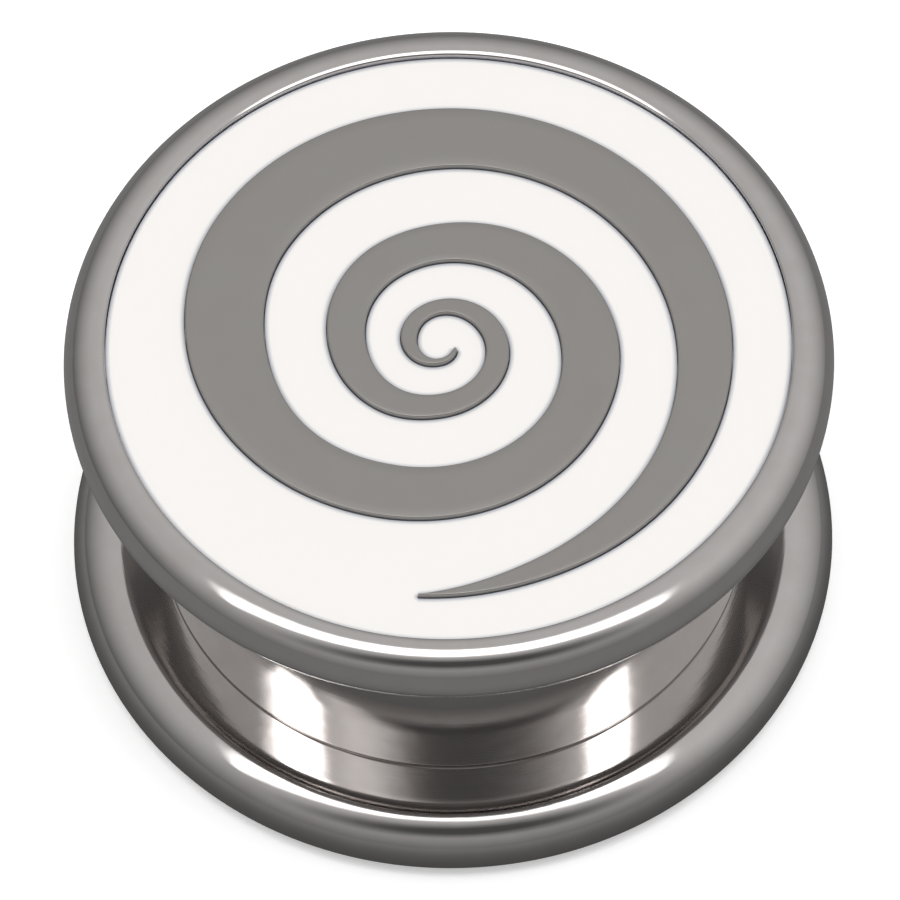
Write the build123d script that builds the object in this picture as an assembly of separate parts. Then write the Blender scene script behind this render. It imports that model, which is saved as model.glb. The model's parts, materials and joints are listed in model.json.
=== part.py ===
from build123d import *
import math
import os

# A two-piece ear plug that stands on its back flange, face up. Z is the plug's axis,
# z = 0 is the flat back and -Y is the near side. All sizes are in millimetres.

# Plug
BARREL_D = 19.0  # the gauge
WEARABLE_LENGTH = 8.0  # barrel between the flat inner faces of the two flanges
FLANGE_OVERHANG = 2.78  # from the barrel's wall out to a flange's widest line
EDGE_FLAT = 1.18  # flat ring of a flange's inner face, next to the barrel
EDGE_HEIGHT = 1.42  # from that flat ring to the flange's widest line
EDGE_FULLNESS = 2.2  # exponent of the rounding between the two, where 2 is an ellipse

# Back flange
BACK_CROWN = 0.8  # from the widest line down to the flat back
BACK_ROUND = 0.8  # width of the rounding down to the flat back

# Face flange
FACE_CROWN = 1.04  # from the widest line up to the rim's crest
RIM_WIDTH = 1.32  # steel rim, from the widest line in to the recess
LIP_WIDTH = 0.27  # part of the rim that rolls over from the crest into the recess
LIP_DROP = 0.08
RECESS_DEPTH = 0.7  # below the crest
FACE_PLATE = 1.8  # steel left between the recess and the bore

# Joint between the halves
BARREL_WALL = 1.5
SEAM_GAP = 0.03  # parting line at the foot of the barrel
FOOT_ROUND = 0.1  # rounded outer edge at the foot of the barrel
MOUTH_CHAMFER = 0.3
SPIGOT_CLEARANCE = 0.05  # radial, in the bore
SPIGOT_CHAMFER = 0.4
SPIGOT_TOP_GAP = 3.8  # from the end of the spigot to the end of the bore

# Enamel and spiral
ENAMEL_SUNK = 0.22  # enamel below the rim's crest
ENAMEL_GAP = 0.02  # all round the enamel
SPIRAL_PROUD = 0.16  # spiral above the enamel

# The spiral turns clockwise, seen from above, from its inner tip to its outer tip about
# a centre of its own. Turns count from +X, and lengths are shares of the recess's radius.
# It is drawn freehand, so it does not widen evenly.
SPIRAL_CENTRE = (-0.024, 0.005)
SPIRAL_EDGES = [
    # (turns, inner edge, outer edge)
    (0.06, 0.042, 0.053),
    (0.15, 0.045, 0.061),
    (0.30, 0.055, 0.075),
    (0.55, 0.071, 0.119),
    (0.75, 0.103, 0.150),
    (0.95, 0.124, 0.188),
    (1.25, 0.173, 0.247),
    (1.35, 0.194, 0.280),
    (1.50, 0.215, 0.323),
    (1.65, 0.257, 0.381),
    (1.75, 0.282, 0.410),
    (1.85, 0.307, 0.451),
    (2.00, 0.350, 0.517),
    (2.10, 0.383, 0.544),
    (2.30, 0.434, 0.610),
    (2.40, 0.477, 0.666),
    (2.50, 0.507, 0.734),
    (2.60, 0.556, 0.786),
    (2.75, 0.608, 0.810),
    (2.95, 0.667, 0.841),
    (3.10, 0.731, 0.857),
    (3.20, 0.788, 0.851),
    (3.265, 0.853, 0.858),
]
POINTS_PER_TURN = 24
turns, inner_edge, outer_edge = zip(*SPIRAL_EDGES)

# Radii from the axis
barrel_r = BARREL_D / 2
flange_r = barrel_r + FLANGE_OVERHANG
edge_round = FLANGE_OVERHANG - EDGE_FLAT
recess_r = flange_r - RIM_WIDTH
crest_r = recess_r + LIP_WIDTH
bore_r = barrel_r - BARREL_WALL
spigot_r = bore_r - SPIGOT_CLEARANCE

# Heights
back_edge_z = BACK_CROWN
back_inner_z = back_edge_z + EDGE_HEIGHT
foot_z = back_inner_z + SEAM_GAP
front_inner_z = back_inner_z + WEARABLE_LENGTH
front_edge_z = front_inner_z + EDGE_HEIGHT
crest_z = front_edge_z + FACE_CROWN
recess_z = crest_z - RECESS_DEPTH
enamel_z = crest_z - ENAMEL_SUNK
spiral_z = enamel_z + SPIRAL_PROUD
bore_top_z = recess_z - FACE_PLATE
spigot_top_z = bore_top_z - SPIGOT_TOP_GAP


def turned(outline):
    """Solid turned about Z from a closed outline of edges in (radius, height)."""
    return revolve(Plane.XZ * make_face(outline), Axis.Z)


def corner(centre, width, height, start):
    """Quarter of an ellipse about a centre, anticlockwise from an angle in degrees."""
    return EllipticalCenterArc(centre, width, height, start_angle=start, arc_size=90)


def full_corner(centre, width, height, start):
    """Quarter round like corner's with squarer shoulders, by EDGE_FULLNESS as the exponent."""
    steps = 8
    angles = [math.radians(start + 90 * i / steps) for i in range(steps + 1)]
    points = []
    for angle in angles:
        across, up = math.cos(angle), math.sin(angle)
        x = math.copysign(abs(across) ** (2 / EDGE_FULLNESS), across)
        y = math.copysign(abs(up) ** (2 / EDGE_FULLNESS), up)
        points.append((centre[0] + width * x, centre[1] + height * y))
    ends = [(-math.sin(angle), math.cos(angle)) for angle in (angles[0], angles[-1])]
    return Spline(*points, tangents=ends)


def run(*points):
    """Straight edges through points."""
    return Polyline(*points).edges()


def front_body():
    """Face flange and hollow barrel, with the recess still empty."""
    foot_r = barrel_r - FOOT_ROUND
    return turned(
        [
            *run(
                (0, bore_top_z),
                (bore_r, bore_top_z),
                (bore_r, foot_z + MOUTH_CHAMFER),
                (bore_r + MOUTH_CHAMFER, foot_z),
                (foot_r, foot_z),
            ),
            corner((foot_r, foot_z + FOOT_ROUND), FOOT_ROUND, FOOT_ROUND, -90),
            *run(
                (barrel_r, foot_z + FOOT_ROUND),
                (barrel_r, front_inner_z),
                (flange_r - edge_round, front_inner_z),
            ),
            full_corner((flange_r - edge_round, front_edge_z), edge_round, EDGE_HEIGHT, -90),
            corner((crest_r, front_edge_z), flange_r - crest_r, FACE_CROWN, 0),
            corner((crest_r, crest_z - LIP_DROP), LIP_WIDTH, LIP_DROP, 90),
            *run(
                (recess_r, crest_z - LIP_DROP),
                (recess_r, recess_z),
                (0, recess_z),
                (0, bore_top_z),
            ),
        ]
    )


def back_half():
    """Back flange and the spigot that goes up into the barrel."""
    return turned(
        [
            *run((0, 0), (flange_r - BACK_ROUND, 0)),
            corner((flange_r - BACK_ROUND, back_edge_z), BACK_ROUND, BACK_CROWN, -90),
            full_corner((flange_r - edge_round, back_edge_z), edge_round, EDGE_HEIGHT, 0),
            *run(
                (flange_r - edge_round, back_inner_z),
                (spigot_r, back_inner_z),
                (spigot_r, spigot_top_z - SPIGOT_CHAMFER),
                (spigot_r - SPIGOT_CHAMFER, spigot_top_z),
                (0, spigot_top_z),
                (0, 0),
            ),
        ]
    )


def edge_slope(row, edge):
    """Growth per turn of one edge of the spiral at a row of its table."""
    before = max(row - 1, 0)
    after = min(row + 1, len(turns) - 1)
    return (edge[after] - edge[before]) / (turns[after] - turns[before])


def edge_share(turn, edge):
    """Distance of one edge from the spiral's centre, on a smooth curve through the rows."""
    row = max(i for i, start in enumerate(turns[:-1]) if start <= turn or i == 0)
    span = turns[row + 1] - turns[row]
    u = (turn - turns[row]) / span
    return (
        (1 + 2 * u) * (1 - u) ** 2 * edge[row]
        + u * u * (3 - 2 * u) * edge[row + 1]
        + u * (1 - u) ** 2 * span * edge_slope(row, edge)
        - u * u * (1 - u) * span * edge_slope(row + 1, edge)
    )


def edge_points(edge, grow):
    """Points along one edge of the spiral, moved out by grow and run on by it at the tips."""
    first, last = turns[0], turns[-1]
    count = math.ceil((last - first) * POINTS_PER_TURN)
    points = []
    for i in range(count + 1):
        turn = first + (last - first) * i / count
        radius = recess_r * edge_share(turn, edge)
        run_on = ((i == count) - (i == 0)) * abs(grow) / radius
        angle = -2 * math.pi * turn - run_on
        points.append(
            (
                recess_r * SPIRAL_CENTRE[0] + (radius + grow) * math.cos(angle),
                recess_r * SPIRAL_CENTRE[1] + (radius + grow) * math.sin(angle),
            )
        )
    return points


def spiral(bottom, top, grow=0.0):
    """The spiral between two heights, wider by grow all round."""
    inner = Spline(*edge_points(inner_edge, -grow))
    outer = Spline(*edge_points(outer_edge, grow))
    tips = [Line(inner @ end, outer @ end) for end in (0, 1)]
    outline = make_face([inner, outer, *tips])
    return extrude(Plane.XY.offset(bottom) * outline, top - bottom)


def front_half():
    """Face flange and barrel with the spiral left standing in the recess."""
    return front_body() + spiral(recess_z, spiral_z)


def enamel_inlay():
    """White enamel in the recess, all round the spiral."""
    bottom = recess_z + ENAMEL_GAP
    disc = Pos(0, 0, bottom) * Cylinder(
        recess_r - ENAMEL_GAP, enamel_z - bottom, align=(Align.CENTER, Align.CENTER, Align.MIN)
    )
    return disc - spiral(recess_z, crest_z, ENAMEL_GAP)


def main():
    """Writes one STEP file for each piece."""
    pieces = {
        "front_half": front_half(),
        "enamel_inlay": enamel_inlay(),
        "back_half": back_half(),
    }
    os.makedirs("parts", exist_ok=True)
    for name, piece in pieces.items():
        export_step(piece, f"parts/{name}.step")
        print(name, "volume", round(piece.volume, 2), "solids", len(piece.solids()))


if __name__ == "__main__":
    main()
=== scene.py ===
import json
import logging
import math
from dataclasses import dataclass
from enum import Enum
from typing import Any

import bmesh
import bpy
import numpy as np
from bpy.types import Material, Node, NodeSocket, NodeTree, Object, World
from mathutils import Matrix, Vector


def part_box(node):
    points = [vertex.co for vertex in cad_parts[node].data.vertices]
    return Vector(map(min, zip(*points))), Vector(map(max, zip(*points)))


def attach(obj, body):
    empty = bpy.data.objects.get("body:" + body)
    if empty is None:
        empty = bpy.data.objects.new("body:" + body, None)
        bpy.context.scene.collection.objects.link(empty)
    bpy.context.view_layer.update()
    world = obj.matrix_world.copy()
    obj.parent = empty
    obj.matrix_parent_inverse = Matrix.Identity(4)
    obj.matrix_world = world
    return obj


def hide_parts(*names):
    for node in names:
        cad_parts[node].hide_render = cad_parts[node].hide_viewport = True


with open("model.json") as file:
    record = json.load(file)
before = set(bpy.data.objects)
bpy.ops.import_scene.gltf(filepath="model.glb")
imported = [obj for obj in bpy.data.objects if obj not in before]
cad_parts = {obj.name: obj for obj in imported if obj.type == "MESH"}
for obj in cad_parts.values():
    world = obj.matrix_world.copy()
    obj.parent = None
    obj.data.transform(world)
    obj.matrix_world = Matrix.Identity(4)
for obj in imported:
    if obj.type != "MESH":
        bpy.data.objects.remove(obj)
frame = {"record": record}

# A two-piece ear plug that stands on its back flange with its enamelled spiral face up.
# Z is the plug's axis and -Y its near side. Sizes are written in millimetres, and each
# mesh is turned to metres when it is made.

LOG = logging.getLogger("ear_plug")
MM = 0.001
# Points closer than this, in metres, are one point.
MERGE_DISTANCE = 2e-8
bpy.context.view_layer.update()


class Body(Enum):
    """The two halves that come apart."""

    FRONT = "front"
    BACK = "back"


# Colour and nodes


def linear(hex_colour: str) -> tuple[float, float, float, float]:
    """Turns an sRGB hex colour to linear light.

    Each channel c is c / 12.92 up to 0.04045, and ((c + 0.055) / 1.055) to the power 2.4 above.

    Args:
        hex_colour: colour such as "#c8c6c2".

    Returns:
        Red, green and blue in linear light, and an alpha of 1.
    """
    digits = hex_colour.lstrip("#")
    channels = [int(digits[i : i + 2], 16) / 255 for i in (0, 2, 4)]
    red, green, blue = (
        c / 12.92 if c <= 0.04045 else ((c + 0.055) / 1.055) ** 2.4 for c in channels
    )
    return red, green, blue, 1.0


def empty_tree(owner: Material | World) -> NodeTree:
    """Turns on the nodes of a material or a world and takes the ready-made ones out.

    Args:
        owner: the material or world.

    Returns:
        Its node tree, without a node.
    """
    owner.use_nodes = True
    owner.node_tree.nodes.clear()
    return owner.node_tree


def add_node(
    tree: NodeTree, kind: str, inputs: dict[str | int, Any] | None = None, **settings: Any
) -> Node:
    """Adds a shader node with its settings and links.

    Args:
        tree: node tree that takes the node.
        kind: type of the node without its "ShaderNode", such as "Math".
        inputs: what goes to each input, by its name or number: a value, an output socket, or
            a node, which stands for the first of its outputs that is in use.
        settings: the node's own properties by name.

    Returns:
        The new node.
    """
    node = tree.nodes.new("ShaderNode" + kind)
    for name, value in settings.items():
        setattr(node, name, value)
    for key, value in (inputs or {}).items():
        if isinstance(value, Node):
            value = next(output for output in value.outputs if output.enabled)
        if isinstance(value, NodeSocket):
            tree.links.new(value, node.inputs[key])
        else:
            node.inputs[key].default_value = value
    return node


# Finishes


def add_surface(
    tree: NodeTree, share: Node, colours: tuple[str, str], sockets: dict[str, Any]
) -> None:
    """Adds a surface whose colour goes from one to another, and the output.

    Args:
        tree: node tree of the material.
        share: share of the second colour, from 0 to 1.
        colours: the two colours, as hex.
        sockets: what goes to the surface's other inputs.
    """
    first, second = (linear(colour) for colour in colours)
    tint = add_node(tree, "Mix", {"Factor": share, "A": first, "B": second}, data_type="RGBA")
    surface = add_node(tree, "BsdfPrincipled", {"Base Color": tint, **sockets})
    add_node(tree, "OutputMaterial", {"Surface": surface})


@dataclass(frozen=True)
class TurnedSteel:
    """Surgical steel (316L), turned on a lathe and then buffed to a near mirror.

    What the eye gets is sharp reflections that break up into fine streaks along the turning
    direction, a faint ripple left by the buffing wheel, and small cloudy patches of grain.
    """

    name: str = "turned_and_buffed_surgical_steel"
    colour: str = "#d1cfce"
    warm_colour: str = "#c8c2bf"
    roughness: float = 0.07
    cloud_roughness: float = 0.09
    cloud_mm: float = 0.9
    # The clouds' noise at which the steel is smoothest and roughest.
    cloud_range: tuple[float, float] = (0.3, 0.7)
    # Turning marks are about 0.02 mm apart on the real steel. They are drawn 0.07 mm apart,
    # which is what still shows at 32 pixels to the millimetre.
    mark_mm: float = 0.07
    mark_length_mm: float = 3.5
    # Distance from the axis at which the marks have that length, near a flange's edge.
    mark_r_mm: float = 12.0
    mark_height_mm: float = 0.0009
    ripple_mm: float = 0.8
    ripple_height_mm: float = 0.0026

    def material(self) -> Material:
        """Builds the steel.

        Turning marks are noise in four numbers: the direction from the axis, stretched so
        that one mark is mark_length_mm long, and the distance from the axis and the height,
        squeezed so that marks lie mark_mm apart. It has no seam where the angle starts.

        Returns:
            The material.
        """
        made = bpy.data.materials.new(self.name)
        tree = empty_tree(made)
        place = add_node(tree, "TexCoord").outputs["Object"]
        flat = add_node(tree, "VectorMath", {0: place, 1: (1, 1, 0)}, operation="MULTIPLY")
        height = add_node(tree, "SeparateXYZ", {0: place}).outputs["Z"]
        distance = add_node(tree, "VectorMath", {0: flat}, operation="LENGTH")
        direction = add_node(tree, "VectorMath", {0: flat}, operation="NORMALIZE")
        across = 1 / (self.mark_mm * MM)
        around = self.mark_r_mm / self.mark_length_mm
        squeezed = add_node(tree, "Math", {0: distance, 1: across}, operation="MULTIPLY")
        lifted = add_node(tree, "CombineXYZ", {"Z": squeezed})
        winding = add_node(
            tree,
            "VectorMath",
            {0: direction, 1: (around, around, 0), 2: lifted},
            operation="MULTIPLY_ADD",
        )
        level = add_node(tree, "Math", {0: height, 1: across}, operation="MULTIPLY")
        marks = add_node(
            tree,
            "TexNoise",
            {"Vector": winding, "W": level, "Scale": 1.0, "Detail": 3.0, "Roughness": 0.6},
            noise_dimensions="4D",
        )
        ripple, clouds = (
            add_node(tree, "TexNoise", {"Vector": place, "Scale": 1 / (mm * MM), "Detail": detail})
            for mm, detail in ((self.ripple_mm, 1.0), (self.cloud_mm, 5.0))
        )
        rippled = add_node(
            tree, "Bump", {"Distance": self.ripple_height_mm * MM, "Height": ripple}
        )
        marked = add_node(
            tree,
            "Bump",
            {"Distance": self.mark_height_mm * MM, "Height": marks, "Normal": rippled},
        )
        gloss = add_node(
            tree,
            "MapRange",
            {
                "Value": clouds,
                "From Min": self.cloud_range[0],
                "From Max": self.cloud_range[1],
                "To Min": self.roughness,
                "To Max": self.cloud_roughness,
            },
        )
        sockets = {"Metallic": 1.0, "Roughness": gloss, "Normal": marked}
        add_surface(tree, clouds, (self.colour, self.warm_colour), sockets)
        return made


@dataclass(frozen=True)
class GroundSteel:
    """The same steel ground level with the enamel on fine grit, and left unbuffed.

    What the eye gets is a flat, soft grey with no reflection in it, fine grain and a faint
    cloudiness.
    """

    name: str = "satin_ground_surgical_steel"
    colour: str = "#a6a4a1"
    warm_colour: str = "#a5a09c"
    roughness: float = 0.38
    # The real grit marks are a few thousandths of a millimetre apart, and are drawn coarser.
    grain_mm: float = 0.06
    grain_height_mm: float = 0.0008
    cloud_mm: float = 1.6

    def material(self) -> Material:
        """Builds the steel from fine isotropic grain and slow clouds.

        Returns:
            The material.
        """
        made = bpy.data.materials.new(self.name)
        tree = empty_tree(made)
        place = add_node(tree, "TexCoord").outputs["Object"]
        grain, clouds = (
            add_node(tree, "TexNoise", {"Vector": place, "Scale": 1 / (mm * MM), "Detail": detail})
            for mm, detail in ((self.grain_mm, 2.0), (self.cloud_mm, 3.0))
        )
        rough = add_node(tree, "Bump", {"Distance": self.grain_height_mm * MM, "Height": grain})
        sockets = {"Metallic": 1.0, "Roughness": self.roughness, "Normal": rough}
        add_surface(tree, clouds, (self.colour, self.warm_colour), sockets)
        return made


@dataclass(frozen=True)
class VitreousEnamel:
    """White opaque enamel, fired glass on steel, ground level and flame polished.

    What the eye gets is an even milky white with a soft gloss. Where it thins out against
    the steel, a painted shade makes it a little greyer and bluer.
    """

    name: str = "white_vitreous_enamel"
    colour: str = "#f4f1ee"
    # Painted shade where the enamel meets the steel: its colour, and the width over which it
    # fades.
    steel_shade_colour: str = "#b4b8c0"
    steel_shade_mm: float = 0.19
    roughness: float = 0.22
    ior: float = 1.5
    orange_peel_mm: float = 0.7
    orange_peel_height_mm: float = 0.0006

    def material(self) -> Material:
        """Builds the enamel.

        The mesh carries steel_distance, the distance to the nearest steel in millimetres.
        The colour of the painted shade next to the steel fades out over a set width of it, in
        millimetres.

        Returns:
            The material.
        """
        made = bpy.data.materials.new(self.name)
        tree = empty_tree(made)
        place = add_node(tree, "TexCoord").outputs["Object"]
        distance = add_node(tree, "Attribute", attribute_name="steel_distance").outputs["Fac"]
        # Share of the enamel's own white, past the painted shade beside the steel.
        unshaded_share = add_node(
            tree,
            "MapRange",
            {"Value": distance, "From Max": self.steel_shade_mm},
            interpolation_type="SMOOTHSTEP",
        )
        peel = add_node(
            tree,
            "TexNoise",
            {"Vector": place, "Scale": 1 / (self.orange_peel_mm * MM), "Detail": 1.0},
        )
        wavy = add_node(
            tree, "Bump", {"Distance": self.orange_peel_height_mm * MM, "Height": peel}
        )
        sockets = {"Roughness": self.roughness, "IOR": self.ior, "Normal": wavy}
        add_surface(tree, unshaded_share, (self.steel_shade_colour, self.colour), sockets)
        return made


# Shapes


def arc(
    centre: tuple[float, float],
    width: float,
    height: float,
    start: float,
    end: float,
    count: int = 20,
    fullness: float = 2.0,
) -> np.ndarray:
    """Points along part of the curve |x / width| ** p + |y / height| ** p = 1.

    The point at t is (width * cos(t) ** (2 / p), height * sin(t) ** (2 / p)), where the powers
    keep the signs of the cosine and the sine. It is an ellipse where p, the fullness, is 2.

    Args:
        centre: centre of the curve.
        width: its half width.
        height: its half height.
        start: angle t of the first point, in degrees.
        end: angle t of the last point, in degrees.
        count: number of points.
        fullness: the exponent p.

    Returns:
        An array of count rows of radius and height.
    """
    t = np.radians(np.linspace(start, end, count))[:, None]
    way = np.hstack([np.cos(t), np.sin(t)])
    power = np.sign(way) * np.abs(way) ** (2 / fullness)
    return np.array(centre) + np.array([width, height]) * power


def straight(*points: tuple[float, float], hold: float = 0.03) -> np.ndarray:
    """Points along straight runs, with one more just inside each end of a run.

    The extra points keep the shading of a flat or a cylinder from bending near its ends.

    Args:
        points: corners of the runs.
        hold: distance of the extra points from the corners, or a third of a short run.

    Returns:
        An array of rows of radius and height.
    """
    corners = np.array(points, float)
    steps = np.diff(corners, axis=0)
    lengths = np.linalg.norm(steps, axis=1, keepdims=True)
    inset = np.minimum(hold, lengths / 3) / lengths * steps
    rows = np.stack([corners[:-1], corners[:-1] + inset, corners[1:] - inset], axis=1)
    return np.vstack([rows.reshape(-1, 2), corners[-1:]])


def grid_faces(rows: int, columns: int, wrap_columns: bool) -> np.ndarray:
    """Faces of a grid: each joins point (i, j) to (i, j + 1), (i + 1, j + 1) and (i + 1, j).

    Args:
        rows: number of rows of points.
        columns: number of points in a row.
        wrap_columns: whether the last column joins the first.

    Returns:
        An array of four point numbers for each face.
    """
    i = np.arange(rows - 1)[:, None] * columns
    j = np.arange(columns if wrap_columns else columns - 1)[None, :]
    k = (j + 1) % columns
    return np.stack([i + j, i + k, i + columns + k, i + columns + j], axis=-1).reshape(-1, 4)


def make_piece(
    name: str,
    points: np.ndarray,
    faces: np.ndarray,
    sharp: float = 30.0,
    attributes: dict[str, np.ndarray] | None = None,
) -> Object:
    """Makes a smooth closed object from points in millimetres.

    Points that lie on each other, at poles and seams, are merged. Edges where the surface
    turns by more than an angle stay sharp.

    Args:
        name: name of the piece.
        points: array whose last axis is x, y and z.
        faces: array of four point numbers for each face.
        sharp: angle past which an edge is sharp, in degrees.
        attributes: values for each point by name.

    Returns:
        The object, at the origin.
    """
    flat = points.reshape(-1, 3) * MM
    mesh = bpy.data.meshes.new(name)
    mesh.from_pydata(flat.tolist(), [], faces.tolist())
    for key, values in (attributes or {}).items():
        layer = mesh.attributes.new(key, "FLOAT", "POINT")
        layer.data.foreach_set("value", values.reshape(-1).astype(np.float32))
    work = bmesh.new()
    work.from_mesh(mesh)
    bmesh.ops.remove_doubles(work, verts=work.verts, dist=MERGE_DISTANCE)
    work.to_mesh(mesh)
    work.free()
    mesh.shade_smooth()
    mesh.set_sharp_from_angle(angle=math.radians(sharp))
    made = bpy.data.objects.new(name, mesh)
    bpy.context.scene.collection.objects.link(made)
    return made


def turned(name: str, profile: np.ndarray, segments: int = 288) -> Object:
    """Turns a profile about the axis: the point at angle a is (r cos a, r sin a, z).

    Args:
        name: name of the piece.
        profile: rows of radius and height, with the metal on their left.
        segments: number of points round the axis.

    Returns:
        The turned object.
    """
    angles = np.linspace(0, 2 * np.pi, segments, endpoint=False)
    radius, height = profile[:, 0, None], profile[:, 1, None]
    points = np.stack(
        [radius * np.cos(angles), radius * np.sin(angles), height + 0 * angles], axis=-1
    )
    return make_piece(name, points, grid_faces(len(profile), segments, True))


def finish_piece(
    piece: Object, material: Material, body: Body, nodes: tuple[str, ...] = ()
) -> None:
    """Dresses a piece, ties it to its body and hides the CAD nodes that it replaces.

    Args:
        piece: the object.
        material: its material.
        body: body that it rides on.
        nodes: CAD nodes that it stands for.
    """
    piece.data.materials.append(material)
    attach(piece, body.value)
    if nodes:
        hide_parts(*nodes)
    LOG.info("%s: %d faces, rides on %s", piece.name, len(piece.data.polygons), body.value)


# The plug


@dataclass(frozen=True)
class PlugSizes:
    """Sizes that the two halves and the enamel share, in millimetres."""

    barrel_r: float
    flange_r: float
    crest_z: float
    enamel_z: float
    enamel_bottom_z: float
    spigot_top_z: float
    wearable_length: float = 8.0
    edge_height: float = 1.42
    edge_flat: float = 1.18
    edge_fullness: float = 2.2
    back_crown: float = 0.8
    rim_width: float = 1.32
    seam_gap: float = 0.03
    bore_r: float = 8.0

    @classmethod
    def from_frame(cls, record: dict[str, Any]) -> "PlugSizes":
        """Reads the plug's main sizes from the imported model.

        Args:
            record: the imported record.

        Returns:
            The sizes.
        """
        seat = next(m for m in record["mounts"] if m["name"] == "lobe_seat")
        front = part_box("front_half")
        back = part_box("back_half")
        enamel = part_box("enamel_inlay")
        return cls(
            barrel_r=seat["dims"]["r_mm"],
            flange_r=min(-front[0].x, front[1].x, -front[0].y, front[1].y) / MM,
            crest_z=front[1].z / MM,
            enamel_z=enamel[1].z / MM,
            enamel_bottom_z=enamel[0].z / MM,
            spigot_top_z=back[1].z / MM,
        )

    @property
    def recess_r(self) -> float:
        """Radius of the recess in the face."""
        return self.flange_r - self.rim_width

    @property
    def back_inner_z(self) -> float:
        """Height of the back flange's flat inner face."""
        return self.back_crown + self.edge_height

    @property
    def front_inner_z(self) -> float:
        """Height of the face flange's flat inner face."""
        return self.back_inner_z + self.wearable_length

    @property
    def front_edge_z(self) -> float:
        """Height of the face flange's widest line."""
        return self.front_inner_z + self.edge_height

    def inner_rounding(self, edge_z: float, start: float) -> np.ndarray:
        """Rounding of a flange between the flat ring next to the barrel and its widest line.

        Args:
            edge_z: height of the widest line.
            start: -90 to start at the flat ring of the face flange, or 0 to start at the
                widest line of the back flange.

        Returns:
            Rows of radius and height.
        """
        flat_r = self.barrel_r + self.edge_flat
        width = self.flange_r - flat_r
        return arc(
            (flat_r, edge_z),
            width,
            self.edge_height,
            start,
            start + 90,
            count=40,
            fullness=self.edge_fullness,
        )


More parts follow.
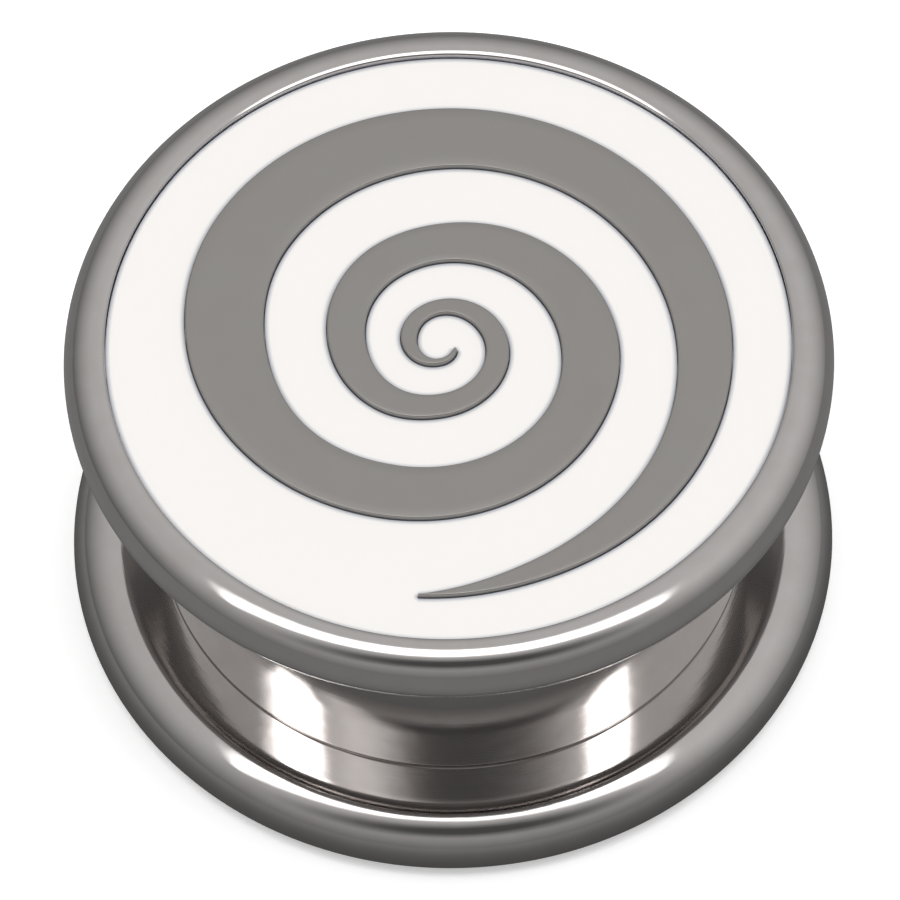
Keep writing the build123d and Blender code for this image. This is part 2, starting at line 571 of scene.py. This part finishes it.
@dataclass(frozen=True)
class Spiral:
    """The tapered spiral as seen from above, about a centre of its own.

    It turns clockwise from its inner tip to its outer tip. Turns count from +X, and lengths
    are shares of the recess's radius.
    """

    recess_r: float
    centre: tuple[float, float] = (-0.024, 0.005)
    rows: tuple[tuple[float, float, float], ...] = (
        (0.06, 0.042, 0.053),
        (0.15, 0.045, 0.061),
        (0.30, 0.055, 0.075),
        (0.55, 0.071, 0.119),
        (0.75, 0.103, 0.150),
        (0.95, 0.124, 0.188),
        (1.25, 0.173, 0.247),
        (1.35, 0.194, 0.280),
        (1.50, 0.215, 0.323),
        (1.65, 0.257, 0.381),
        (1.75, 0.282, 0.410),
        (1.85, 0.307, 0.451),
        (2.00, 0.350, 0.517),
        (2.10, 0.383, 0.544),
        (2.30, 0.434, 0.610),
        (2.40, 0.477, 0.666),
        (2.50, 0.507, 0.734),
        (2.60, 0.556, 0.786),
        (2.75, 0.608, 0.810),
        (2.95, 0.667, 0.841),
        (3.10, 0.731, 0.857),
        (3.20, 0.788, 0.851),
        (3.265, 0.853, 0.858),
    )
    steps_per_turn: int = 160
    tip_steps: int = 14
    tip_turns: float = 0.03
    # Decimal places to which turns are told apart.
    turn_digits: int = 9

    @property
    def first(self) -> float:
        """Turns at the inner tip."""
        return self.rows[0][0]

    @property
    def last(self) -> float:
        """Turns at the outer tip."""
        return self.rows[-1][0]

    def edge(self, turns: np.ndarray, column: int) -> np.ndarray:
        """Distance of an edge from the spiral's centre.

        A cubic Hermite curve goes through the rows, with the slope at each row taken from
        the rows on either side of it.

        Args:
            turns: where to work it out.
            column: 1 for the inner edge and 2 for the outer one.

        Returns:
            Distances in millimetres.
        """
        table = np.array(self.rows)
        at, value = table[:, 0], table[:, column]
        before = np.maximum(np.arange(len(at)) - 1, 0)
        after = np.minimum(np.arange(len(at)) + 1, len(at) - 1)
        slope = (value[after] - value[before]) / (at[after] - at[before])
        row = np.clip(np.searchsorted(at, turns, side="right") - 1, 0, len(at) - 2)
        span = at[row + 1] - at[row]
        u = np.clip((turns - at[row]) / span, 0, 1)
        share = (
            (1 + 2 * u) * (1 - u) ** 2 * value[row]
            + u * u * (3 - 2 * u) * value[row + 1]
            + u * (1 - u) ** 2 * span * slope[row]
            - u * u * (1 - u) * span * slope[row + 1]
        )
        return share * self.recess_r

    def band(self, turns: np.ndarray, grow: float = 0.0) -> tuple[np.ndarray, np.ndarray]:
        """Middle and half width of the steel band, rounded off at both tips.

        The half width is multiplied by sqrt(1 - q * q), where q runs from 0 to 1 over the
        last stretch before a tip, as in a half ellipse.

        Args:
            turns: where to work it out.
            grow: width added on each side, and length added at each tip, in millimetres.

        Returns:
            Distances of the middle from the spiral's centre and half widths, in millimetres.
        """
        inner, outer = self.edge(turns, 1), self.edge(turns, 2)
        middle, half = (inner + outer) / 2, (outer - inner) / 2 + grow
        cap = np.ones_like(turns)
        for tip, sign in ((self.first, 1.0), (self.last, -1.0)):
            at_tip = float(self.edge(np.array([tip]), 1)[0])
            blunt = float(self.edge(np.array([tip]), 2)[0]) - at_tip
            run_on = grow / (2 * np.pi * at_tip)
            stretch = (blunt / 2 + grow) / (2 * np.pi * at_tip)
            inside = sign * (turns - tip) + run_on
            q = np.clip(1 - inside / stretch, 0, 1)
            cap = cap * np.sqrt(1 - q * q)
        return middle, half * cap

    def turns_between(self, start: float, end: float) -> np.ndarray:
        """Even steps, with finer ones wherever a whole number of turns away is a tip.

        Args:
            start: first turn.
            end: last turn.

        Returns:
            The turns, in rising order.
        """
        spread = np.linspace(-1, 1, 2 * self.tip_steps + 1)
        fine = self.tip_turns * np.sign(spread) * np.abs(spread) ** 2
        parts = [np.arange(self.steps_per_turn) / self.steps_per_turn]
        parts += [(tip + fine) % 1 for tip in (self.first, self.last)]
        shares = np.unique(np.round(np.concatenate(parts), self.turn_digits))
        whole = np.arange(math.floor(start), math.ceil(end) + 1)[:, None]
        turns = (whole + shares[None, :]).reshape(-1)
        slack = 10.0**-self.turn_digits
        return turns[(turns >= start - slack) & (turns <= end + slack)]

    def place(self, turns: np.ndarray, distance: np.ndarray) -> np.ndarray:
        """Turns polar places about the spiral's centre into x and y.

        The angle is -2 pi times the turns, so that the spiral runs clockwise.

        Args:
            turns: turns of each point.
            distance: distance of each point from the spiral's centre.

        Returns:
            An array whose last axis is x and y, in millimetres.
        """
        angle = -2 * np.pi * turns
        return np.stack(
            [
                self.centre[0] * self.recess_r + distance * np.cos(angle),
                self.centre[1] * self.recess_r + distance * np.sin(angle),
            ],
            axis=-1,
        )

    def circle(self, turns: np.ndarray, radius: float) -> np.ndarray:
        """Distance from the spiral's centre c, along a direction d, to a circle round the axis.

        It is -c.d + sqrt(radius^2 - c.c + (c.d)^2).

        Args:
            turns: turns that give the direction.
            radius: radius of the circle.

        Returns:
            Distances in millimetres.
        """
        centre = np.array(self.centre) * self.recess_r
        angle = -2 * np.pi * turns
        along = centre[0] * np.cos(angle) + centre[1] * np.sin(angle)
        return -along + np.sqrt(radius**2 - centre @ centre + along**2)


@dataclass
class FrontHalf:
    """Face flange, hollow barrel and the spiral left standing in the face's recess."""

    sizes: PlugSizes
    spiral: Spiral
    lip_width: float = 0.27
    lip_drop: float = 0.08
    recess_depth: float = 0.7
    face_plate: float = 1.8
    foot_round: float = 0.1
    mouth_chamfer: float = 0.3
    spiral_proud: float = 0.16
    spiral_round: float = 0.045
    # Depth of the spiral's foot below the recess's floor, so that no gap shows there.
    spiral_sunk: float = 0.05
    corner_points: int = 7
    top_points: int = 7

    def profile(self) -> np.ndarray:
        """Outline of the turned steel, from the end of the bore round to the recess's floor.

        Returns:
            Rows of radius and height.
        """
        s = self.sizes
        foot_z = s.back_inner_z + s.seam_gap
        recess_z = s.crest_z - self.recess_depth
        bore_top_z = recess_z - self.face_plate
        foot_r = s.barrel_r - self.foot_round
        crest_r = s.recess_r + self.lip_width
        crown = s.crest_z - s.front_edge_z
        lip_z = s.crest_z - self.lip_drop
        foot_round = self.foot_round
        return np.vstack(
            [
                straight(
                    (0, bore_top_z),
                    (s.bore_r, bore_top_z),
                    (s.bore_r, foot_z + self.mouth_chamfer),
                    (s.bore_r + self.mouth_chamfer, foot_z),
                    (foot_r, foot_z),
                ),
                arc((foot_r, foot_z + foot_round), foot_round, foot_round, -90, 0, count=8),
                straight(
                    (s.barrel_r, foot_z + foot_round),
                    (s.barrel_r, s.front_inner_z),
                    (s.barrel_r + s.edge_flat, s.front_inner_z),
                ),
                s.inner_rounding(s.front_edge_z, -90),
                arc((crest_r, s.front_edge_z), s.flange_r - crest_r, crown, 0, 90, count=36),
                arc((crest_r, lip_z), self.lip_width, self.lip_drop, 90, 180, count=14),
                straight((s.recess_r, lip_z), (s.recess_r, recess_z), (0, recess_z)),
            ]
        )

    def relief(self) -> Object:
        """Builds the spiral as a rounded section that is carried along its band.

        Across the band, the section goes up a wall, round a corner of radius c by
        (c - c cos t, c sin t - c), over the flat top and down the other side, and c shrinks
        to the band's half width at the tips.

        Returns:
            The spiral, standing in the recess.
        """
        turns = self.spiral.turns_between(self.spiral.first, self.spiral.last)
        middle, half = self.spiral.band(turns)
        corner = np.minimum(self.spiral_round, half)[:, None]
        top = self.sizes.enamel_z + self.spiral_proud
        floor = self.sizes.crest_z - self.recess_depth - self.spiral_sunk
        t = np.radians(np.linspace(0, 90, self.corner_points))[None, :]
        inset = corner * (1 - np.cos(t))
        drop = corner * (np.sin(t) - 1)
        wall = half[:, None]
        side = np.hstack([-wall, -wall + inset])
        level = np.hstack([np.full_like(wall, floor), top + drop])
        flat = np.linspace(-1, 1, self.top_points)[None, 1:-1] * (wall - corner)
        across = np.hstack([side, flat, -side[:, ::-1]])
        height = np.hstack([level, np.full_like(flat, top), level[:, ::-1]])
        plan = self.spiral.place(turns[:, None], middle[:, None] + across)
        points = np.concatenate([plan, height[..., None]], axis=-1)
        faces = grid_faces(*height.shape, True)[:, ::-1]
        return make_piece("front_spiral", points, faces, sharp=50)

    def build(self, turned_steel: Material, ground_steel: Material) -> None:
        """Builds and dresses the front half.

        Args:
            turned_steel: material of the turned faces.
            ground_steel: material of the spiral.
        """
        shell = turned("front_shell", self.profile())
        finish_piece(shell, turned_steel, Body.FRONT, ("front_half",))
        finish_piece(self.relief(), ground_steel, Body.FRONT)


@dataclass
class EnamelInlay:
    """White enamel that fills the recess, in one ribbon that winds between the spiral's turns."""

    sizes: PlugSizes
    spiral: Spiral
    gap: float = 0.02
    edge_round: float = 0.035
    dip: float = 0.012
    dip_reach: float = 0.1
    edge_columns: tuple[float, ...] = (0.0, 0.006, 0.014, 0.024, 0.035, 0.06, 0.1, 0.16, 0.24)
    # The ribbon is narrow where it is less than this many times as wide as the edge columns.
    narrow: float = 2.2
    # Turns past each tip over which the band's middle is still worked out from its table.
    past_tips: float = 0.2
    # Least distance from the spiral's centre for which a length along the turn is worked out.
    least_r: float = 0.05
    middle_points: int = 7
    # The band is there where its half width is over this.
    least_half_width: float = 1e-7
    # Turns by which a row may fall short of the outer tip and still be past it.
    slack: float = 1e-6

    def line(self, turns: np.ndarray, outward: bool) -> tuple[np.ndarray, np.ndarray]:
        """One side of the band with the gap added, and of the line that carries it on.

        Where the band has ended, a line with no width stands for it. It goes on in to the
        spiral's centre at the inner end and out to the rim at the outer end, so that each
        stretch of the ribbon joins its neighbour there.

        Args:
            turns: where to work it out.
            outward: whether it is the band's outer side.

        Returns:
            Distances from the spiral's centre, and lengths along the turn to the steel.
        """
        first, last = self.spiral.first, self.spiral.last
        near_band = np.clip(turns, first - self.past_tips, last + self.past_tips)
        middle, half = self.spiral.band(near_band, self.gap)
        rim = self.spiral.circle(turns, self.sizes.recess_r - self.gap)
        inward_share = np.clip(turns - (first - 1), 0, 1)
        outward_share = np.clip(turns - last, 0, 1)
        middle = np.where(turns < first, middle * inward_share, middle)
        middle = middle + np.where(turns > last, outward_share * (rim - middle), 0.0)
        middle = np.where(turns > last + 1, rim, middle)
        past = np.maximum(np.maximum(first - turns, turns - last), 0)
        side = middle + (half if outward else -half)
        return side, 2 * np.pi * past * np.maximum(middle, self.least_r)

    def height(self, distance: np.ndarray) -> np.ndarray:
        """Height of the enamel over its distance d from the gap beside the steel.

        A corner of radius c takes off c - sqrt(c^2 - (c - d)^2) within c of the gap, and the
        enamel has sunk as it cooled by dip times exp(-d / dip_reach).

        Args:
            distance: distances in millimetres.

        Returns:
            Heights in millimetres.
        """
        short = np.maximum(self.edge_round - distance, 0)
        corner = self.edge_round - np.sqrt(self.edge_round**2 - short**2)
        return self.sizes.enamel_z - corner - self.dip * np.exp(-distance / self.dip_reach)

    def build(self, enamel: Material) -> None:
        """Builds and dresses the enamel.

        The ribbon lies between the band at a turn and the band one turn further out.
        Columns lie close together near both edges, where the surface turns down, and are
        squeezed where the ribbon is narrow. The walls stand only where there is steel.

        Args:
            enamel: its material.
        """
        first, last = self.spiral.first, self.spiral.last
        turns = self.spiral.turns_between(first - 2, last + 1)
        inner, past_inner = self.line(turns, outward=True)
        outer, past_outer = self.line(turns + 1, outward=False)
        width = np.maximum(outer - inner, 0)[:, None]
        near = np.array(self.edge_columns)[None, :]
        near = near * np.minimum(1, width / (self.narrow * near.max()))
        share = np.linspace(0, 1, self.middle_points)[None, 1:-1]
        middle = near[:, -1:] + share * (width - 2 * near[:, -1:])
        across = np.hstack([near, middle, width - near[:, ::-1]])
        plan = self.spiral.place(turns[:, None], inner[:, None] + across)
        rim_distance = self.sizes.recess_r - self.gap - np.linalg.norm(plan, axis=-1)
        steel = np.minimum(
            np.hypot(across, past_inner[:, None]), np.hypot(width - across, past_outer[:, None])
        )
        steel = np.maximum(np.minimum(steel, rim_distance), 0)
        top = np.concatenate([plan, self.height(steel)[..., None]], axis=-1)
        foot = top[:, [0, -1]].copy()
        foot[..., 2] = self.sizes.enamel_bottom_z
        points = np.concatenate([foot[:, :1], top, foot[:, 1:]], axis=1)
        distance = np.concatenate([steel[:, :1], steel, steel[:, -1:]], axis=1)
        rows, columns = distance.shape
        faces = grid_faces(rows, columns, True)[:, ::-1].reshape(rows - 1, columns, 4)
        rim_beside = turns >= last - self.slack
        keep = np.ones((rows - 1, columns), bool)
        keep[:, 0] = self.beside(turns)
        keep[:, -2] = self.beside(turns + 1) | (rim_beside[:-1] & rim_beside[1:])
        piece = make_piece(
            "enamel_ribbon", points, faces[keep], sharp=60, attributes={"steel_distance": distance}
        )
        finish_piece(piece, enamel, Body.FRONT, ("enamel_inlay",))

    def beside(self, turns: np.ndarray) -> np.ndarray:
        """Marks the steps between turns that have the band beside them.

        Args:
            turns: turns of the band at each row.

        Returns:
            Whether the band has some width at either end of each step.
        """
        wide = self.spiral.band(turns, self.gap)[1] > self.least_half_width
        return wide[:-1] | wide[1:]


@dataclass
class BackHalf:
    """Back flange and the spigot that goes up into the barrel."""

    sizes: PlugSizes
    back_round: float = 0.8
    spigot_clearance: float = 0.05
    spigot_chamfer: float = 0.4

    def profile(self) -> np.ndarray:
        """Outline of the turned steel, from the middle of the back round to the spigot's end.

        Returns:
            Rows of radius and height.
        """
        s = self.sizes
        spigot_r = s.bore_r - self.spigot_clearance
        return np.vstack(
            [
                straight((0, 0), (s.flange_r - self.back_round, 0)),
                arc(
                    (s.flange_r - self.back_round, s.back_crown),
                    self.back_round,
                    s.back_crown,
                    -90,
                    0,
                    count=28,
                ),
                s.inner_rounding(s.back_crown, 0),
                straight(
                    (s.barrel_r + s.edge_flat, s.back_inner_z),
                    (spigot_r, s.back_inner_z),
                    (spigot_r, s.spigot_top_z - self.spigot_chamfer),
                    (spigot_r - self.spigot_chamfer, s.spigot_top_z),
                    (0, s.spigot_top_z),
                ),
            ]
        )

    def build(self, turned_steel: Material) -> None:
        """Builds and dresses the back half.

        Args:
            turned_steel: its material.
        """
        shell = turned("back_shell", self.profile())
        finish_piece(shell, turned_steel, Body.BACK, ("back_half",))


# The studio


@dataclass(frozen=True)
class Softbox:
    """A soft panel straight overhead, which lights dull surfaces."""

    distance: float = 1200.0
    width_degrees: float = 66.0
    depth_degrees: float = 30.4
    brightness: float = 2.5

    def build(self) -> None:
        """Hangs the panel over the plug, facing down.

        Its sides are 2 d tan(half the angle that the plug sees). A square metre that gives
        off brightness B of even light in every direction needs pi B watts. In the steel's
        reflections the room's bar of light takes the panel's place.
        """
        lamp = bpy.data.lights.new("overhead", "AREA")
        lamp.shape = "RECTANGLE"
        reach = 2 * self.distance * MM
        lamp.size = reach * math.tan(math.radians(self.width_degrees / 2))
        lamp.size_y = reach * math.tan(math.radians(self.depth_degrees / 2))
        lamp.energy = math.pi * self.brightness * lamp.size * lamp.size_y
        panel = bpy.data.objects.new("overhead", lamp)
        panel.location = (0, 0, self.distance * MM)
        panel.visible_camera = False
        panel.visible_glossy = False
        bpy.context.scene.collection.objects.link(panel)


@dataclass(frozen=True)
class PaperFloor:
    """A sweep of matt white paper, with the grey that the steel mirrors of it."""

    radius: float = 1600.0
    rings: int = 4
    segments: int = 96
    drop: float = 0.005
    colour: str = "#f7f7f7"
    lift: float = 0.38
    mirrored_grey: float = 0.243
    # Painted shadow round the foot, in the grey that the steel mirrors.
    foot_shade: float = 0.83
    foot_r: float = 11.3
    foot_reach: float = 3.6
    # The shade round the foot ends at this many times its reach, where it is nothing.
    reaches: float = 20.0

    def material(self) -> Material:
        """Builds the paper: white to the eye, and grey in the steel, with a painted shadow round
        the foot.

        The grey that the steel mirrors at distance r from the axis is mirrored_grey times
        1 - foot_shade * exp(-(r - foot_r) / foot_reach), where r is foot_r or more.

        Returns:
            The material.
        """
        made = bpy.data.materials.new("matt_paper_sweep")
        tree = empty_tree(made)
        path = add_node(tree, "LightPath")
        place = add_node(tree, "TexCoord").outputs["Object"]
        from_axis = add_node(tree, "VectorMath", {0: place}, operation="LENGTH")
        past_foot = add_node(
            tree,
            "MapRange",
            {
                "Value": from_axis,
                "From Min": self.foot_r * MM,
                "From Max": (self.foot_r + self.reaches * self.foot_reach) * MM,
                "To Max": -self.reaches,
            },
        )
        fade = add_node(tree, "Math", {0: past_foot}, operation="EXPONENT")
        grey = add_node(
            tree,
            "Math",
            {0: fade, 1: -self.foot_shade * self.mirrored_grey, 2: self.mirrored_grey},
            operation="MULTIPLY_ADD",
        )
        mirrored = add_node(tree, "Emission", {"Strength": grey})
        pale = add_node(tree, "BsdfDiffuse", {"Color": linear(self.colour)})
        lift = add_node(tree, "Emission", {"Strength": self.lift})
        seen = add_node(tree, "AddShader", {0: pale, 1: lift})
        mixed = add_node(
            tree, "MixShader", {0: path.outputs["Is Glossy Ray"], 1: seen, 2: mirrored}
        )
        add_node(tree, "OutputMaterial", {"Surface": mixed})
        return made

    def build(self) -> None:
        """Lays the paper as a disc with points at (r cos a, r sin a, -drop)."""
        angles = np.linspace(0, 2 * np.pi, self.segments, endpoint=False)
        radii = np.linspace(0, self.radius, self.rings)[:, None]
        height = -self.drop + 0 * radii * angles
        points = np.stack([radii * np.cos(angles), radii * np.sin(angles), height], axis=-1)
        floor = make_piece("floor", points, grid_faces(*height.shape, True)[:, ::-1])
        floor.data.materials.append(self.material())


@dataclass(frozen=True)
class SkyChart:
    """A direction's x, y and z in the room's nodes, and its place on a flat chart of the sky.

    The zenith is the chart's middle, and a direction lies as many degrees from it as it is
    from the zenith. On the chart u runs to +X, and v to the near side, -Y.
    """

    tree: NodeTree
    x: NodeSocket
    y: NodeSocket
    z: NodeSocket
    u: NodeSocket
    v: NodeSocket
    place: Node

    @classmethod
    def build(cls, tree: NodeTree) -> "SkyChart":
        """Adds the chart's nodes. The place is acos(z), in degrees, along (x, -y).

        Args:
            tree: node tree of the room.

        Returns:
            The chart.
        """
        direction = add_node(tree, "TexCoord").outputs["Generated"]
        split = add_node(tree, "SeparateXYZ", {0: direction}).outputs
        from_zenith = add_node(tree, "Math", {0: split["Z"]}, operation="ARCCOSINE")
        degrees = add_node(tree, "Math", {0: from_zenith}, operation="DEGREES")
        level = add_node(tree, "VectorMath", {0: direction, 1: (1, -1, 0)}, operation="MULTIPLY")
        way = add_node(tree, "VectorMath", {0: level}, operation="NORMALIZE")
        place = add_node(tree, "VectorMath", {0: way, "Scale": degrees}, operation="SCALE")
        flat = add_node(tree, "SeparateXYZ", {0: place}).outputs
        return cls(tree, split["X"], split["Y"], split["Z"], flat["X"], flat["Y"], place)


@dataclass(frozen=True)
class BarEdge:
    """One long edge of the bar of light: v = curve u^2 + slope u + middle on the sky chart."""

    curve: float
    slope: float
    middle: float
    fade: float = 3.0

    def passed(self, sky: SkyChart) -> Node:
        """Adds how far a place is past the edge.

        It goes smoothly from 0 to 1 as v goes from fade before the edge to fade past it.

        Args:
            sky: the sky chart.

        Returns:
            The share, from 0 to 1.
        """
        steep = add_node(
            sky.tree, "Math", {0: sky.u, 1: self.curve, 2: self.slope}, operation="MULTIPLY_ADD"
        )
        line = add_node(
            sky.tree, "Math", {0: steep, 1: sky.u, 2: self.middle}, operation="MULTIPLY_ADD"
        )
        past = add_node(sky.tree, "Math", {0: sky.v, 1: line}, operation="SUBTRACT")
        return add_node(
            sky.tree,
            "MapRange",
            {"Value": past, "From Min": -self.fade, "From Max": self.fade},
            interpolation_type="SMOOTHSTEP",
        )


@dataclass(frozen=True)
class Strip:
    """A bright strip with round ends on the sky chart."""

    start: tuple[float, float]
    end: tuple[float, float]
    half_width: float
    fade: float
    brightness: float

    def light(self, sky: SkyChart) -> Node:
        """Adds the strip's light, which fades from half_width - fade to half_width + fade.

        The distance from the strip's middle line is taken from the line's nearest point,
        which lies at the share clamp(p.l / l.l, 0, 1) of it, where p goes from its start to
        the place and l from its start to its end.

        Args:
            sky: the sky chart.

        Returns:
            Its light.
        """
        line = (self.end[0] - self.start[0], self.end[1] - self.start[1])
        square = line[0] ** 2 + line[1] ** 2
        from_start = add_node(
            sky.tree, "VectorMath", {0: sky.place, 1: (*self.start, 0)}, operation="SUBTRACT"
        )
        share = add_node(
            sky.tree,
            "VectorMath",
            {0: from_start, 1: (line[0] / square, line[1] / square, 0)},
            operation="DOT_PRODUCT",
        )
        held = add_node(sky.tree, "Clamp", {"Value": share})
        nearest = add_node(
            sky.tree, "VectorMath", {0: (*line, 0), "Scale": held}, operation="SCALE"
        )
        distance = add_node(
            sky.tree, "VectorMath", {0: from_start, 1: nearest}, operation="DISTANCE"
        )
        return add_node(
            sky.tree,
            "MapRange",
            {
                "Value": distance,
                "From Min": self.half_width - self.fade,
                "From Max": self.half_width + self.fade,
                "To Min": self.brightness,
                "To Max": 0.0,
            },
            interpolation_type="SMOOTHSTEP",
        )


@dataclass
class Studio:
    """White paper, a room that is dim at the horizon, and a bar of light overhead.

    Low is the room's light at the horizon and high its light from the height high_z up,
    where a direction's length is 1. The front is the part towards -Y. Rightwards is what
    the rest gains towards +X and loses towards -X. The gap is where the camera stands.
    """

    room_low: float = 0.3
    room_high: float = 0.8
    rightwards_low: float = 0.12
    rightwards_high: float = 0.13
    front_low: float = 0.28
    front_high: float = 0.62
    front_reach: tuple[float, float] = (-0.8, -0.1)
    high_z: float = 0.8
    soft_light: float = 1.2
    gap_light: float = 0.11
    gap_spot: tuple[float, float] = (2.0, 38.0)
    gap_size: tuple[float, float] = (33.0, 15.0)
    gap_fade: tuple[float, float] = (0.3, 1.6)
    bar_light: float = 3.2
    bar_back: BarEdge = BarEdge(0.0225, 0.1, -13.0)
    bar_front: BarEdge = BarEdge(0.004, 0.05, 12.0)
    side_strips: tuple[Strip, ...] = (
        Strip((-23.0, 8.0), (-47.3, 32.0), 5.3, 1.3, 5.0),
        Strip((-15.0, 20.0), (-36.0, 44.0), 7.0, 6.5, 1.1),
        Strip((23.5, 11.5), (41.5, 28.5), 4.6, 1.3, 5.0),
        Strip((21.0, 14.0), (38.0, 31.0), 8.0, 8.0, 0.4),
    )
    # Light that steel has mirrored once on its way to the eye has depth 2, and twice 3.
    mirrored_twice_depth: float = 2.5

    def walls(self, sky: SkyChart) -> Node:
        """Adds the room's light, which goes evenly from low to high with the height z.

        Args:
            sky: the sky chart.

        Returns:
            The light.
        """
        behind = add_node(
            sky.tree,
            "MapRange",
            {"Value": sky.y, "From Min": self.front_reach[0], "From Max": self.front_reach[1]},
            interpolation_type="SMOOTHSTEP",
        )
        ends = []
        for front, room, rightwards in (
            (self.front_low, self.room_low, self.rightwards_low),
            (self.front_high, self.room_high, self.rightwards_high),
        ):
            tilted = add_node(
                sky.tree, "Math", {0: sky.x, 1: rightwards, 2: room}, operation="MULTIPLY_ADD"
            )
            end = add_node(
                sky.tree, "MapRange", {"Value": behind, "To Min": front, "To Max": tilted}
            )
            ends.append(end)
        return add_node(
            sky.tree,
            "MapRange",
            {"Value": sky.z, "From Max": self.high_z, "To Min": ends[0], "To Max": ends[1]},
        )

    def gapped(self, sky: SkyChart, walls: Node) -> Node:
        """Adds the dark oval on the sky chart where the camera stands before the light.

        Args:
            sky: the sky chart.
            walls: the room's light.

        Returns:
            The room's light with the gap in it.
        """
        stretched = add_node(
            sky.tree, "VectorMath", {0: sky.place, 1: (*self.gap_size, 1)}, operation="DIVIDE"
        )
        middle = (spot / size for spot, size in zip(self.gap_spot, self.gap_size))
        distance = add_node(
            sky.tree, "VectorMath", {0: stretched, 1: (*middle, 0)}, operation="DISTANCE"
        )
        return add_node(
            sky.tree,
            "MapRange",
            {
                "Value": distance,
                "From Min": self.gap_fade[0],
                "From Max": self.gap_fade[1],
                "To Min": self.gap_light,
                "To Max": walls,
            },
            interpolation_type="SMOOTHSTEP",
        )

    def room(self) -> None:
        """Sets the room's light: dim at the horizon, with a dark gap round the camera.

        The bar of light lies overhead between its two edges. The side strips show only in
        steel that other steel mirrors. Dull surfaces get soft_light times the walls' light,
        and the softbox's instead of the bar's. The eye sees white past the floor's edge.
        """
        world = bpy.data.worlds.new("studio_room")
        bpy.context.scene.world = world
        tree = empty_tree(world)
        sky = SkyChart.build(tree)
        gapped = self.gapped(sky, self.walls(sky))
        past_back = self.bar_back.passed(sky)
        past_front = self.bar_front.passed(sky)
        bar = add_node(tree, "Math", {0: past_back, 1: past_front}, operation="SUBTRACT")
        mirrored = add_node(
            tree, "MapRange", {"Value": bar, "To Min": gapped, "To Max": self.bar_light}
        )
        path = add_node(tree, "LightPath").outputs
        mirrored_twice = add_node(
            tree,
            "Math",
            {0: path["Ray Depth"], 1: self.mirrored_twice_depth},
            operation="GREATER_THAN",
        )
        for strip in self.side_strips:
            extra = strip.light(sky)
            mirrored = add_node(
                tree, "Math", {0: extra, 1: mirrored_twice, 2: mirrored}, operation="MULTIPLY_ADD"
            )
        soft = add_node(tree, "Math", {0: gapped, 1: self.soft_light}, operation="MULTIPLY")
        lit = add_node(
            tree, "Mix", {0: path["Is Diffuse Ray"], 2: mirrored, 3: soft}, data_type="FLOAT"
        )
        seen = add_node(tree, "Mix", {0: path["Is Camera Ray"], 2: lit, 3: 1.0}, data_type="FLOAT")
        light = add_node(tree, "Background", {"Strength": seen})
        add_node(tree, "OutputWorld", {"Surface": light})

    def build(self) -> None:
        """Builds the floor, the room and the softbox."""
        PaperFloor().build()
        self.room()
        Softbox().build()
        bpy.context.scene.view_settings.view_transform = "Standard"
        LOG.info("studio: paper floor, softbox and %d side strips", len(self.side_strips))


@dataclass
class PhotoCamera:
    """Camera at the photograph's angle: the middle of the face lands on a chosen spot."""

    target_z: float
    elevation: float = 58.27
    roll: float = 1.36
    distance: float = 564.4
    frame_width: float = 28.673
    frame_pixels: int = 900
    target_pixel: tuple[float, float] = (448.85, 360.17)
    sensor: float = 36.0

    def build(self) -> None:
        """Sets up the camera.

        The line of sight passes beside the target by its pixels from the frame's middle,
        times the width of a pixel at the target.
        """
        e, roll = math.radians(self.elevation), math.radians(self.roll)
        back = Vector((0, -math.cos(e), math.sin(e)))
        level_right, level_up = Vector((1, 0, 0)), Vector((0, math.sin(e), math.cos(e)))
        up = level_up * math.cos(roll) + level_right * math.sin(roll)
        right = level_right * math.cos(roll) - level_up * math.sin(roll)
        pixel = self.frame_width / self.frame_pixels
        aim = Vector((0, 0, self.target_z))
        aim -= right * (self.target_pixel[0] - self.frame_pixels / 2) * pixel
        aim += up * (self.target_pixel[1] - self.frame_pixels / 2) * pixel
        lens = bpy.data.cameras.new("photo_camera")
        lens.sensor_width = self.sensor
        lens.lens = self.sensor * self.distance / self.frame_width
        camera = bpy.data.objects.new("photo_camera", lens)
        turn = Matrix((right, up, back)).transposed().to_4x4()
        turn.translation = (aim + back * self.distance) * MM
        camera.matrix_world = turn
        bpy.context.scene.collection.objects.link(camera)
        bpy.context.scene.camera = camera
        LOG.info("camera: %.0f mm lens", lens.lens)


def main() -> None:
    """Builds the plug, then the studio and the camera."""
    logging.basicConfig(level=logging.INFO, format="%(name)s: %(message)s")
    sizes = PlugSizes.from_frame(frame["record"])
    spiral = Spiral(sizes.recess_r)
    turned_steel = TurnedSteel().material()
    FrontHalf(sizes, spiral).build(turned_steel, GroundSteel().material())
    EnamelInlay(sizes, spiral).build(VitreousEnamel().material())
    BackHalf(sizes).build(turned_steel)
    Studio().build()
    PhotoCamera(sizes.front_edge_z).build()


if __name__ == "__main__":
    main()
